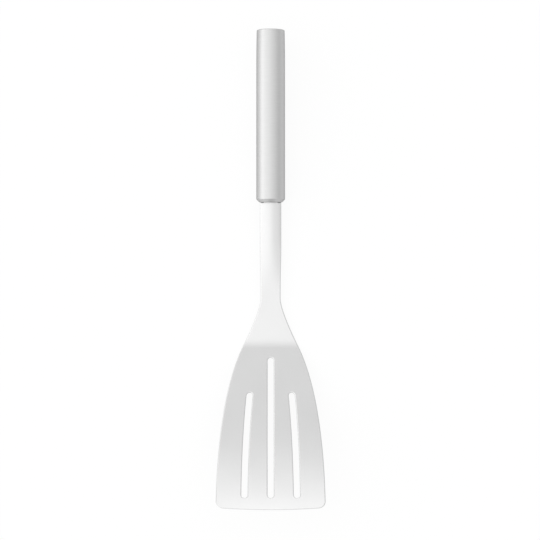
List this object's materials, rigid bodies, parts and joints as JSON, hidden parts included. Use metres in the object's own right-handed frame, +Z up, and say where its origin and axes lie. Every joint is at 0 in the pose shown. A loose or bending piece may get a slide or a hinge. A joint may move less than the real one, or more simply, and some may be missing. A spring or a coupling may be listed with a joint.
{
  "type": "kitchen turner",
  "caption": "Slotted kitchen turner: a flared, bent sheet-steel blade on an arched shank, fixed in a round hollow steel handle.",
  "frame": {"origin": "on the table under the middle of the turner's box, as the turner lies with its food side up on the nose of its handle and the outside of its bend", "axes": "+Y from the blade's tip to the butt of the handle, +Z up, +X to the right seen from above with the handle at the top"},
  "size_m": [0.0778, 0.353, 0.0478],
  "materials": {
    "sheet_steel": "satin polished stainless steel sheet with rounded edges",
    "handle_steel": "matt stainless steel tube, brushed round its axis",
    "plug_plastic": "moulded polyamide, hidden inside the handle"
  },
  "bodies": {
    "root": {"blade_and_shank": "sheet_steel", "handle_tube": "handle_steel", "butt_cap": "handle_steel", "tang_plug": "plug_plastic"}
  },
  "joints": []
}
